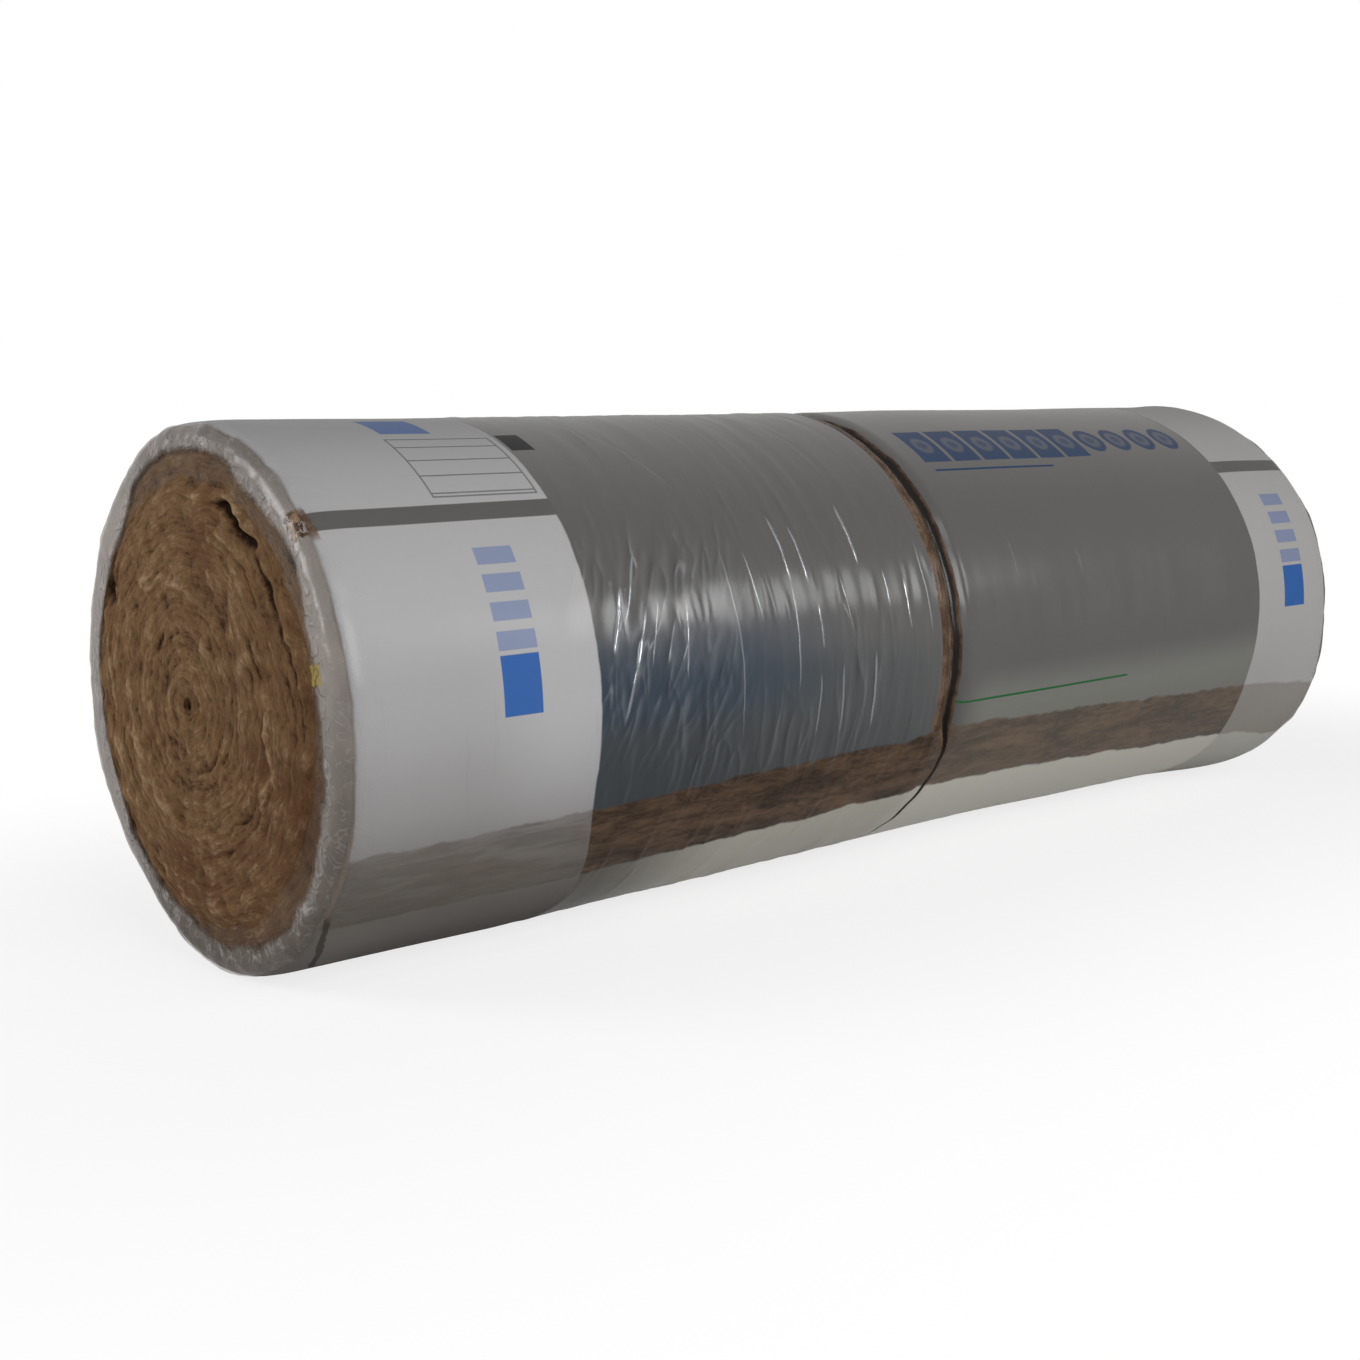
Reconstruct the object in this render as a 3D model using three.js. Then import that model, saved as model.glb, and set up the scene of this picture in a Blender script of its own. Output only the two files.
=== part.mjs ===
// Insulation roll: two half-rolls of mineral wool mat, wound without a core and laid end to
// end, held in one tight film wrap that is turned over both shoulders onto the ends.
// Millimetres. X runs along the roll, Z is up, and the origin is under its middle on the floor.
import * as THREE from 'three';
import { mergeGeometries, mergeVertices } from 'three/addons/utils/BufferGeometryUtils.js';

// ---- driving dimensions -------------------------------------------------------------------
const rollDiameter = 397; // over the film
const matWidth = 597; // each half-roll along the axis, to the top of its turns
const jointGap = 6; // open gap between the two half-rolls
const filmThickness = 1; // film with the air trapped in its folds
const wrapClearance = 0.3; // film to wool

const eyeDiameter = 14; // the bore that the mat is wound round
const turnPitch = 20; // one thickness of the pressed mat
const turnRelief = 5; // how far each turn stands out of the spiral valley beside it
const turnEdge = 0.26; // share of the pitch taken by each sloping edge of a turn
const endCrown = 7; // bulge of the end face from its rim to the eye

const jointEdgeRadius = 14; // rounding of each half-roll beside the joint
const jointWrapAngle = 65; // how far round that edge the film dips, in degrees
const shoulderRadius = 180; // long easing of the barrel towards each end
const shoulderAngle = 6; // sweep of that easing, in degrees
const rimRadius = 14; // tight turn from the shoulder onto the end face
const openingRadius = 170; // hole that the turned-in film leaves on each end

const segments = 48; // facets round the roll
const edgeSteps = 3; // chords in each rounded edge of the profile

// ---- sizes worked out from them -----------------------------------------------------------
const filmRadius = rollDiameter / 2;
const woolRadius = filmRadius - filmThickness - wrapClearance;
const facetAngle = (2 * Math.PI) / segments;
const axisHeight = filmRadius * Math.cos(facetAngle / 2);
const eyeRadius = eyeDiameter / 2;
const jointFace = jointGap / 2;
const rimFace = jointFace + matWidth - endCrown - turnRelief;
const crownRadius = openingRadius - turnPitch;
const radians = THREE.MathUtils.degToRad;

// ---- profile shared by the wool and the film ----------------------------------------------
// A profile point is (radius, distance from the joint). offset moves it out from the wool.

function arc(centreRadius, centreX, radius, fromAngle, toAngle, steps) {
  const points = [];
  for (let i = 0; i <= steps; i += 1) {
    const angle = fromAngle + ((toAngle - fromAngle) * i) / steps;
    points.push(new THREE.Vector2(
      centreRadius + radius * Math.cos(angle),
      centreX + radius * Math.sin(angle),
    ));
  }
  return points;
}

function jointEdge(offset, sweep) {
  const centreRadius = woolRadius - jointEdgeRadius;
  const centreX = jointFace + jointEdgeRadius;
  return arc(centreRadius, centreX, jointEdgeRadius + offset, -sweep, 0, edgeSteps);
}

function shoulder(offset) {
  const sweep = radians(shoulderAngle);
  const reach = shoulderRadius - rimRadius;
  const rimCentreX = rimFace - rimRadius;
  const easingX = rimCentreX - reach * Math.sin(sweep);
  const easingCentre = woolRadius - shoulderRadius;
  const rimCentre = easingCentre + reach * Math.cos(sweep);
  return [
    ...arc(easingCentre, easingX, shoulderRadius + offset, 0, sweep, edgeSteps),
    ...arc(rimCentre, rimCentreX, rimRadius + offset, sweep, Math.PI / 2, edgeSteps).slice(1),
  ];
}

// The height of the valleys between the turns: domed over the eye, flat under the film.
function valley(radius) {
  return rimFace + endCrown * (1 - Math.min(radius / crownRadius, 1) ** 2);
}

// ---- the spiral end of a half-roll --------------------------------------------------------
// The mat's edge winds out from the eye in one rounded ridge. Its rows of vertices follow the
// spiral, and a flat ring closes it against the rim, under the film.

function spiralFace(sense, rimPoint) {
  const turns = (openingRadius - wrapClearance - eyeRadius) / turnPitch;
  const lastStep = Math.floor(turns * segments);
  const crestSteps = lastStep - segments;
  const positions = [];
  const indices = [];

  function vertex(step, radius, height) {
    const angle = facetAngle * (0.5 + sense * step);
    positions.push(radius * Math.sin(angle), height, radius * Math.cos(angle));
    return positions.length / 3 - 1;
  }
  function row(count, place) {
    return Array.from({ length: count + 1 }, (unused, step) => place(step));
  }
  function triangle(a, b, c) {
    indices.push(a, sense > 0 ? b : c, sense > 0 ? c : b);
  }
  function strip(inner, outer, innerShift, outerShift, count) {
    for (let step = 0; step < count; step += 1) {
      const a = inner[step + innerShift];
      const b = outer[step + outerShift];
      triangle(a, b, outer[step + outerShift + 1]);
      triangle(a, outer[step + outerShift + 1], inner[step + innerShift + 1]);
    }
  }

  const spiralRadius = (step) => eyeRadius + (turnPitch * step) / segments;
  const ridge = (share) => (step) => {
    const radius = spiralRadius(step) + share * turnPitch;
    return vertex(step, radius, valley(radius) + turnRelief);
  };
  const eye = row(segments, (step) => vertex(step, eyeRadius, valley(eyeRadius)));
  const valleys = row(lastStep, (step) => {
    const radius = spiralRadius(step);
    return vertex(step, radius, valley(radius));
  });
  const innerCrest = row(crestSteps, ridge(turnEdge));
  const outerCrest = row(crestSteps, ridge(1 - turnEdge));
  const rim = row(segments, (step) => vertex(step + crestSteps, rimPoint.x, rimPoint.y));

  // The leading end of the mat meets the eye in a single point, so its first quad is a triangle.
  triangle(eye[0], valleys[1], eye[1]);
  strip(eye, valleys, 1, 1, segments - 1);
  strip(valleys, innerCrest, 0, 0, crestSteps);
  strip(innerCrest, outerCrest, 0, 0, crestSteps);
  strip(outerCrest, valleys, 0, segments, crestSteps);
  strip(valleys, rim, crestSteps, 0, segments);

  // Leading and trailing ends of the ridge.
  triangle(valleys[0], valleys[segments], outerCrest[0]);
  triangle(valleys[0], outerCrest[0], innerCrest[0]);
  triangle(valleys[crestSteps], innerCrest[crestSteps], outerCrest[crestSteps]);
  triangle(valleys[crestSteps], outerCrest[crestSteps], valleys[lastStep]);
  triangle(valleys[crestSteps], valleys[lastStep], rim[0]);

  const face = new THREE.BufferGeometry();
  face.setAttribute('position', new THREE.Float32BufferAttribute(positions, 3));
  face.setIndex(indices);
  return face;
}

// ---- pieces -------------------------------------------------------------------------------

function closedBody(...geometries) {
  for (const geometry of geometries) {
    geometry.deleteAttribute('normal');
    geometry.deleteAttribute('uv');
  }
  const body = mergeVertices(mergeGeometries(geometries), wrapClearance / 100);
  body.computeVertexNormals();
  return body;
}

function turned(profile) {
  return new THREE.LatheGeometry(profile, segments, facetAngle / 2, 2 * Math.PI);
}

// side is 1 for the half-roll towards +X and -1 for the one towards -X.
function woolRoll(name, side, material) {
  const outside = [...jointEdge(0, Math.PI / 2), ...shoulder(0)];
  const profile = [
    new THREE.Vector2(eyeRadius, valley(eyeRadius)),
    new THREE.Vector2(eyeRadius, jointFace),
    ...outside,
  ];
  const geometry = closedBody(turned(profile), spiralFace(side, outside.at(-1)));
  const mesh = new THREE.Mesh(geometry, material);
  mesh.name = name;
  mesh.rotation.z = (-side * Math.PI) / 2;
  return mesh;
}

function filmSkin(offset) {
  const half = [
    ...jointEdge(offset, radians(jointWrapAngle)),
    ...shoulder(offset),
    new THREE.Vector2(openingRadius, rimFace + offset),
  ];
  const mirrored = half.map((point) => new THREE.Vector2(point.x, -point.y)).reverse();
  return [...mirrored, ...half];
}

function filmWrap(material) {
  const inner = filmSkin(wrapClearance);
  const outer = filmSkin(wrapClearance + filmThickness);
  const profile = [...outer, ...inner.reverse(), outer[0].clone()];
  const mesh = new THREE.Mesh(closedBody(turned(profile)), material);
  mesh.name = 'film_wrap';
  mesh.rotation.z = -Math.PI / 2;
  return mesh;
}

// ---- assembly -----------------------------------------------------------------------------

const wool = new THREE.MeshStandardMaterial({ color: '#6f563c', roughness: 0.95 });
const film = new THREE.MeshStandardMaterial({ color: '#7d7c7a', roughness: 0.25 });

const roll = new THREE.Group();
roll.name = 'insulation_roll';
roll.position.z = axisHeight;
roll.add(
  woolRoll('wool_roll_near', -1, wool),
  woolRoll('wool_roll_far', 1, wool),
  filmWrap(film),
);

export default roll;
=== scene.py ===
"""Insulation roll: two wound half-rolls of mineral wool in one printed, wrinkled film."""
import math
import random

import bmesh
import bpy
from bpy.props import (
    FloatProperty,
    FloatVectorProperty,
    IntProperty,
    PointerProperty,
)
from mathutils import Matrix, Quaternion, Vector, noise


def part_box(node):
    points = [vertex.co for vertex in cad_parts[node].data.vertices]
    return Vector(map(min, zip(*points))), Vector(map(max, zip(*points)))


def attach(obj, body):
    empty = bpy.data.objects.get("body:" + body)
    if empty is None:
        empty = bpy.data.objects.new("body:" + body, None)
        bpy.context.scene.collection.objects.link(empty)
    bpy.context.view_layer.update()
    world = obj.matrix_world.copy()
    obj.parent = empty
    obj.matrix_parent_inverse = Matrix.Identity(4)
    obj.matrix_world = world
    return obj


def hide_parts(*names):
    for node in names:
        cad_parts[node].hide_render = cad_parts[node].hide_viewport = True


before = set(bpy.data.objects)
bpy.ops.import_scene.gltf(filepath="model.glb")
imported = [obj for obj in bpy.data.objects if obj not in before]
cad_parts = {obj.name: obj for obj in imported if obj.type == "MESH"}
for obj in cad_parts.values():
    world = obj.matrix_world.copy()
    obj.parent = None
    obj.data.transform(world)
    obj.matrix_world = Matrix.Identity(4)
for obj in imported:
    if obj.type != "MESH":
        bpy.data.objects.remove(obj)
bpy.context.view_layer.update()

bl_info = {
    "name": "Insulation Roll",
    "version": (1, 0, 0),
    "blender": (4, 5, 0),
    "location": "View3D > Sidebar > Insulation Roll",
    "description": "Wool mats and printed film of a wrapped insulation roll",
    "category": "Object",
}

FILM_LOW, FILM_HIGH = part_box("film_wrap")
WOOL_LOW, WOOL_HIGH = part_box("wool_roll_near")

AXIS_HEIGHT = (FILM_LOW[2] + FILM_HIGH[2]) / 2
FILM_RADIUS = (FILM_HIGH[2] - FILM_LOW[2]) / 2
HALF_LENGTH = -WOOL_LOW[0]
JOINT_FACE = -WOOL_HIGH[0]
LIP_PLANE = FILM_HIGH[0]

NEAR = -1
FAR = 1


# ---- Sizes and colours ----------------------------------------------------------------------


def srgb(red, green, blue):
    """Linear colour of an 8-bit screen colour."""
    def linear(level):
        share = level / 255
        if share <= 0.04045:
            return share / 12.92
        return ((share + 0.055) / 1.055) ** 2.4
    return (linear(red), linear(green), linear(blue))


def length_prop(name, description, default):
    return FloatProperty(name=name, description=description, default=default, unit="LENGTH")


def colour_prop(name, description, default):
    return FloatVectorProperty(
        name=name, description=description, default=default, size=3, subtype="COLOR",
        min=0, max=1,
    )


class WoolSettings(bpy.types.PropertyGroup):
    """The wound mats and their spiral ends."""
    eye_radius: length_prop("Eye radius", "Bore that the mat is wound round", 0.004)
    turn_pitch: length_prop("Turn pitch", "Thickness of one pressed turn", 0.020)
    relief: length_prop("Relief", "How far the turns stand out of their gaps", 0.0045)
    dome: length_prop("Dome", "Bulge of the end from the film to the eye", 0.006)
    light: colour_prop("Light strands", "Pale fibres on top", srgb(154, 128, 98))
    middle: colour_prop("Wool", "Main brown of the fibres", srgb(108, 81, 54))
    # Dark wool, also where the tone paints shade in the gaps between the turns.
    dark: colour_prop("Deep wool", "Gaps between turns and tufts", srgb(44, 27, 14))
    # Rust patches, also a painted shade on the lower front of the ends.
    rust_and_shade: colour_prop("Rust patches", "Redder brown of some patches", srgb(90, 61, 37))


class FilmSettings(bpy.types.PropertyGroup):
    """The film and the places of its print."""
    band_near: length_prop("Near band edge", "Where the near white band meets the silver", -0.385)
    band_far: length_prop("Far band edge", "Where the far white band meets the silver", 0.456)
    clear_start: length_prop("Clear strip start", "Print edge beside the joint", -0.0226)
    clear_end: length_prop("Clear strip end", "Print edge past the joint", 0.0068)
    opening_radius: length_prop("Opening", "Hole that the film leaves on each end", 0.160)
    haze_radius: length_prop("Haze edge", "Inner edge of the gathered, hazy film", 0.172)
    creases: IntProperty(
        name="Creases", description="Number of random creases in the film", default=420, min=0,
    )


class PrintSettings(bpy.types.PropertyGroup):
    """The colours of the film."""
    silver: colour_prop("Silver", "Metallic grey middle panel", srgb(79, 78, 77))
    # Painted reflection: the lighter top of the silver panel.
    bright: colour_prop("Bright silver", "Upper part of the panel", srgb(106, 104, 101))
    # Painted shade low on the near half of the panel; the next colour is the same shade, paler beside the
    # joint.
    painted_low_shade: colour_prop("Shaded silver", "Blue-grey lower edge of the panel", srgb(44, 49, 53))
    painted_low_shade_pale: colour_prop("Light shade", "The same beside the joint", srgb(67, 70, 71))
    # Painted reflection of something dark blue, low on the near half of the panel.
    dark_blue_reflection: colour_prop("Blue shade", "Bluest part of the panel", srgb(26, 50, 72))
    # Painted reflection: the pale lower edge of the panel on the far half.
    pale_low_reflection: colour_prop("Pearl silver", "Pale lower edge of the panel", srgb(112, 112, 106))
    # Painted highlight: the colour of the lit sides of the wrinkles and of the glints on crumples and
    # sharp creases.
    crease: colour_prop("Crease", "Film where a crease is drawn tight", srgb(170, 173, 178))
    # Painted shade: near-black film in the joint's groove and on the shaded sides of the wrinkles.
    groove_shade: colour_prop("Groove", "Film deep in the joint", srgb(14, 9, 6))
    white: colour_prop("White", "Near end band", srgb(158, 157, 158))
    # Painted shade: the far band's white, darker than the near band's.
    white_far_shaded: colour_prop("Far white", "Far end band", srgb(152, 151, 150))
    strip: colour_prop("Grey strip", "Strip across the end bands", srgb(84, 82, 80))
    picture_light: colour_prop("Picture, light", "Strands in the brown band", srgb(92, 71, 53))
    picture_dark: colour_prop("Picture, dark", "Ground of the brown band", srgb(38, 27, 18))
    pale: colour_prop("Pale zone", "Grey print under the brown band", srgb(160, 157, 147))
    pale_far: colour_prop("Far pale zone", "The same on the far half", srgb(178, 176, 166))
    # Painted shade: the dull grey that darkens the pale zone at the near end and the white bands low
    # down, at the top and near the near end; it also shows faintly where the brown band lies under the
    # near band.
    dull_shade: colour_prop("Dull zone", "The pale zone at the near end", srgb(84, 80, 74))
    blue: colour_prop("Blue", "Plain blue marks", srgb(0, 76, 144))
    faded: colour_prop("Faded blue", "Blue marks on the silver", srgb(24, 50, 84))
    green: colour_prop("Green", "Plain green rule", srgb(24, 84, 42))
    ink: colour_prop("Ink", "Plain ruled table and block", srgb(34, 32, 34))
    haze: colour_prop("Haze", "Gathered clear film on the ends", srgb(104, 95, 87))
    # Pale stacked folds of clear film, also the colour of painted glints and of the painted highlight on
    # the shoulder.
    fold_and_glint: colour_prop("Fold", "Stacked folds of clear film", srgb(182, 176, 172))
    # Wool seen through the clear film, darkened as painted shade.
    brown_haze_and_shade: colour_prop("Brown haze", "Clear film close on the wool", srgb(54, 40, 29))
    tape: colour_prop("Tape", "Scrap of yellow tape at the near end", srgb(138, 121, 60))
    under_red: colour_prop("Red wool", "Wool under the clear strip, dark", srgb(76, 57, 44))
    under_pale: colour_prop("Pale wool", "Wool under the clear strip, pale", srgb(116, 95, 78))
    fibre_dark: colour_prop("Torn, dark", "Fibres at the torn end of the strip", srgb(48, 34, 24))
    fibre_pale: colour_prop("Torn, pale", "The same on top", srgb(124, 98, 74))


class StageSettings(bpy.types.PropertyGroup):
    """Camera and studio."""
    focal_length: FloatProperty(
        name="Focal length", description="Lens in millimetres", default=48.97, min=1,
    )
    yaw: FloatProperty(
        name="Yaw", description="Turn of the view towards +X", default=math.radians(41.24),
        subtype="ANGLE",
    )
    pitch: FloatProperty(
        name="Pitch", description="Tilt of the view", default=math.radians(-8.43),
        subtype="ANGLE",
    )
    roll: FloatProperty(
        name="Roll", description="Turn of the view about itself", default=math.radians(-0.45),
        subtype="ANGLE",
    )
    camera_place: FloatVectorProperty(
        name="Camera", description="Camera position from the middle of the roll",
        default=(-1.1857, -1.1948, 0.2058), size=3, subtype="TRANSLATION",
    )


class RollSettings(bpy.types.PropertyGroup):
    """All settings of the insulation roll."""
    wool: PointerProperty(type=WoolSettings)
    film: PointerProperty(type=FilmSettings)
    prints: PointerProperty(type=PrintSettings)
    stage: PointerProperty(type=StageSettings)


# ---- Node helpers ---------------------------------------------------------------------------

NODES_A_ROW = 12
NODE_SPACING = (180, -220)


class Value:
    """An output of a node. Where it is a number, it can be reckoned with as one."""

    def __init__(self, board, socket):
        self.board = board
        self.socket = socket

    def __add__(self, other):
        return self.board.math("ADD", self, other)

    def __sub__(self, other):
        return self.board.math("SUBTRACT", self, other)

    def __rsub__(self, other):
        return self.board.math("SUBTRACT", other, self)

    def __mul__(self, other):
        return self.board.math("MULTIPLY", self, other)

    def __truediv__(self, other):
        return self.board.math("DIVIDE", self, other)

    def __pow__(self, other):
        return self.board.math("POWER", self, other)

    def __rpow__(self, other):
        return self.board.math("POWER", other, self)

    def __or__(self, other):
        return self.board.math("MAXIMUM", self, other)

    def __abs__(self):
        return self.board.math("ABSOLUTE", self)

    __radd__ = __add__

    def fraction(self):
        return self.board.math("FRACT", self)

    def ease(self, low, high, to_low=0.0, to_high=1.0):
        """Smooth step from to_low at low to to_high at high."""
        inputs = enumerate((self, low, high, to_low, to_high))
        return self.board.value("ShaderNodeMapRange", inputs, interpolation_type="SMOOTHSTEP")

    def fall(self, low, high):
        """Smooth step from 1 at low to 0 at high."""
        return self.ease(low, high, 1.0, 0.0)

    def band(self, low, high, soft):
        """1 between low and high, with edges of width soft."""
        rise = self.ease(low - soft / 2, low + soft / 2)
        return rise * self.fall(high - soft / 2, high + soft / 2)

    def ridged(self, sharpness):
        """Thin ridges of height 1 along the middle level of a noise."""
        return (1 - abs(self * 2 - 1)) ** sharpness


class NodeBoard:
    """Adds nodes to one tree and links them as they come."""

    def __init__(self, tree):
        self.tree = tree
        self.count = 0

    def node(self, kind, **settings):
        made = self.tree.nodes.new(kind)
        for name, value in settings.items():
            setattr(made, name, value)
        row, column = divmod(self.count, NODES_A_ROW)
        made.location = (NODE_SPACING[0] * column, NODE_SPACING[1] * row)
        self.count += 1
        return made

    def feed(self, socket, value):
        """Links a value to an input, or sets a number, a vector or a colour on it."""
        if isinstance(value, Value):
            self.tree.links.new(value.socket, socket)
        elif socket.type == "RGBA":
            socket.default_value = (*value, 1.0)
        else:
            socket.default_value = value

    def fill(self, made, inputs):
        """Feeds some inputs of a node, by number or by name."""
        for key, value in dict(inputs).items():
            self.feed(made.inputs[key], value)
        return made

    def value(self, kind, inputs=(), output=0, **settings):
        """One output of a new node."""
        made = self.fill(self.node(kind, **settings), inputs)
        return Value(self, made.outputs[output])

    def values(self, made):
        """All outputs of a node, by name."""
        return {socket.name: Value(self, socket) for socket in made.outputs}

    def math(self, operation, *inputs):
        return self.value("ShaderNodeMath", enumerate(inputs), operation=operation)

    def join(self, x, y, z):
        return self.value("ShaderNodeCombineXYZ", enumerate((x, y, z)))

    def split(self, vector):
        return self.values(self.fill(self.node("ShaderNodeSeparateXYZ"), {0: vector})).values()

    def stretch(self, vector, factors):
        return self.value("ShaderNodeVectorMath", {0: vector, 1: factors}, operation="MULTIPLY")

    def noise(self, place, scale, detail=2.0, roughness=0.5, distortion=0.0):
        return self.value("ShaderNodeTexNoise", {
            "Vector": place, "Scale": scale, "Detail": detail, "Roughness": roughness,
            "Distortion": distortion,
        })

    def place(self):
        """Where a point lies in the object."""
        return self.value("ShaderNodeTexCoord", output="Object")

    def attribute(self, name):
        return self.value("ShaderNodeAttribute", output="Fac", attribute_name=name)

    def level(self, factor, first, second):
        """Mix of two numbers."""
        return self.value("ShaderNodeMix", {0: factor, 2: first, 3: second}, data_type="FLOAT")

    def blend(self, factor, first, second):
        """Mix of two colours."""
        inputs = {0: factor, 6: first, 7: second}
        return self.value("ShaderNodeMix", inputs, output=2, data_type="RGBA")

    def layers(self, colour, *covers):
        """A colour with others laid over it in turn, each one a mask and its colour."""
        for mask, cover in covers:
            colour = self.blend(mask, colour, cover)
        return colour

    def bump(self, height, distance, strength=1.0, **normal):
        """A normal from a height. Normal is the one that it starts from."""
        inputs = {"Height": height, "Distance": distance, "Strength": strength, **normal}
        return self.value("ShaderNodeBump", inputs)

    def group(self, tree, **inputs):
        """All outputs of a node group, by name."""
        return self.values(self.fill(self.node("ShaderNodeGroup", node_tree=tree), inputs))


def shared_group(inputs, outputs):
    """Turns a function that works out a node group's outputs into one that gives the group.

    The group holds plain numbers, has the function's name and is built once.
    """
    def wrap(work_out):
        def shared():
            name = work_out.__name__
            if name in bpy.data.node_groups:
                return bpy.data.node_groups[name]
            tree = bpy.data.node_groups.new(name, "ShaderNodeTree")
            for side, labels in (("INPUT", inputs), ("OUTPUT", outputs)):
                for label in labels:
                    tree.interface.new_socket(label, in_out=side, socket_type="NodeSocketFloat")
            board = NodeBoard(tree)
            given = board.values(board.node("NodeGroupInput")) if inputs else {}
            results = work_out(board, *(given[label] for label in inputs))
            board.fill(board.node("NodeGroupOutput"), zip(outputs, results))
            return tree
        return shared
    return wrap


def new_material(name):
    """A material, its board and its Principled BSDF."""
    material = bpy.data.materials.new(name)
    material.use_nodes = True
    board = NodeBoard(material.node_tree)
    return material, board, material.node_tree.nodes["Principled BSDF"]


@shared_group((), ("Along", "Around", "Folded", "Radius"))
def roll_place(board):
    """Where a point lies on the roll: along it, round it in degrees, and from its axis.

    Folded is the degrees mirrored about the upright plane, from 90 on top to 270 below.
    """
    along, across, height = board.split(board.place())
    up = height - AXIS_HEIGHT
    around = board.math("DEGREES", board.math("ARCTAN2", up * -1, across * -1)) + 180
    from_top = board.math("WRAP", around - 90, 180, -180)
    return along, around, abs(from_top) + 90, board.math("SQRT", up ** 2 + across ** 2)


# ---- Mesh helpers ---------------------------------------------------------------------------

SECTORS = 20
MERGE_DISTANCE = 1e-5
FLOOR_GAP = 0.0002

# The rounded edge at the joint, the long easing of the barrel and the tight turn onto the end.
WOOL_RADIUS = FILM_RADIUS - 0.0009
RIM_FACE = LIP_PLANE - 0.0013
JOINT_EDGE_RADIUS = 0.014
EASING_RADIUS = 0.180
EASING_SWEEP = math.radians(6)
RIM_RADIUS = 0.014

# Soft forms of the whole roll: outward shift, and the middle and width of each, or where it
# starts and ends to rise. They fade out over BARREL_EDGE towards the axis.
WAIST_AROUND = (234, 36)
WAIST = -0.0052
WAIST_ALONG = (0.13, 0.26)
NEAR_SWELL = 0.0016
NEAR_SWELL_ALONG = (-0.39, 0.06)
FAR_SWELL = 0.002
FAR_SWELL_RISE = (0.46, 0.54)
CREST = 0.0014
CREST_RISE = (-0.1, 0.2)
CREST_AROUND = (90, 30)
BARREL_EDGE = (0.150, 0.188)

# Dents and corners of the two soft ends: degrees round the roll, spread, outward shift, and
# how far from the joint each one starts.
CORNER_RISE = 0.09
NEAR_CORNERS = ((72, 10, 0.0026, 0.47), (12, 28, -0.0052, 0.48), (308, 24, -0.0094, 0.48))
FAR_CORNERS = (
    (86, 10, 0.0032, 0.51), (128, 20, -0.0024, 0.48), (212, 19, 0.0102, 0.48), (238, 13, 0.0060, 0.46),
)


def spun(profile, steps):
    """A closed or open profile of (along, radius) points, spun round the roll's axis.

    One sector is spun, and then copied round, which takes far less time than a full spin.
    """
    mesh = bmesh.new()
    rows = [mesh.verts.new((along, 0, AXIS_HEIGHT + radius)) for along, radius in profile]
    edges = [mesh.edges.new(pair) for pair in zip(rows, rows[1:])]
    about = {"cent": (0, 0, AXIS_HEIGHT), "axis": (1, 0, 0), "dvec": (0, 0, 0)}
    sector = 2 * math.pi / SECTORS
    bmesh.ops.spin(
        mesh, geom=rows + edges, angle=sector, steps=steps // SECTORS, use_merge=False, **about,
    )
    bmesh.ops.spin(
        mesh, geom=mesh.verts[:] + mesh.edges[:] + mesh.faces[:], angle=2 * math.pi - sector,
        steps=SECTORS - 1, use_duplicate=True, **about,
    )
    bmesh.ops.remove_doubles(mesh, verts=mesh.verts, dist=MERGE_DISTANCE)
    bmesh.ops.recalc_face_normals(mesh, faces=mesh.faces)
    return mesh


def finished(mesh, name, material, node):
    """Turns a bmesh into a smooth piece that stands for a CAD node."""
    for face in mesh.faces:
        face.smooth = True
    piece = placed(mesh, name, material)
    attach(piece, "root")
    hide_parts(node)


def placed(mesh, name, material):
    """Turns a bmesh into an object of the scene."""
    data = bpy.data.meshes.new(name)
    mesh.to_mesh(data)
    mesh.free()
    data.materials.append(material)
    return linked(name, data)


def linked(name, data):
    """A new object of the scene."""
    made = bpy.data.objects.new(name, data)
    bpy.context.scene.collection.objects.link(made)
    return made


def arc(centre, radius, first, last, steps):
    """Points of an arc in the (along, radius) plane. Angles are from the outward radius."""
    angles = [first + (last - first) * step / steps for step in range(steps + 1)]
    return [
        (centre[0] + radius * math.sin(angle), centre[1] + radius * math.cos(angle))
        for angle in angles
    ]


def line(start, end, spacing):
    """Evenly spaced points after start, up to end."""
    steps = max(1, round(math.dist(start, end) / spacing))
    return [
        (start[0] + (end[0] - start[0]) * i / steps, start[1] + (end[1] - start[1]) * i / steps)
        for i in range(1, steps + 1)
    ]


def joint_edge(offset, sweep):
    """The edge beside the joint. offset moves it out from the wool."""
    centre = (JOINT_FACE + JOINT_EDGE_RADIUS, WOOL_RADIUS - JOINT_EDGE_RADIUS)
    return arc(centre, JOINT_EDGE_RADIUS + offset, -sweep, 0, 7)


def shoulder(offset, easing_start, rim_sweep, rim_steps):
    """The end of the barrel, turned over by rim_sweep. offset moves it out from the wool."""
    reach = EASING_RADIUS - RIM_RADIUS
    rim_along = RIM_FACE - RIM_RADIUS
    easing_centre = (rim_along - reach * math.sin(EASING_SWEEP), WOOL_RADIUS - EASING_RADIUS)
    rim_centre = (rim_along, easing_centre[1] + reach * math.cos(EASING_SWEEP))
    points = arc(easing_centre, EASING_RADIUS + offset, easing_start, EASING_SWEEP, 4)
    return points + arc(rim_centre, RIM_RADIUS + offset, EASING_SWEEP, rim_sweep, rim_steps)[1:]


def smooth_step(value, low, high):
    share = min(max((value - low) / (high - low), 0.0), 1.0)
    return share * share * (3 - 2 * share)


def hump(value, middle, width):
    """Smooth bump of height 1 at the middle."""
    return math.exp(-((value - middle) / width) ** 2)


def rough(x, y, z):
    """Smooth noise about 0."""
    return noise.noise(Vector((x, y, z)))


def polar(vertex):
    """Place of a vertex along the roll, round it in degrees as in the prints, and its radius."""
    along, across, up = vertex.co
    up -= AXIS_HEIGHT
    return along, math.degrees(math.atan2(up, across)) % 360, math.hypot(across, up)


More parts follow.
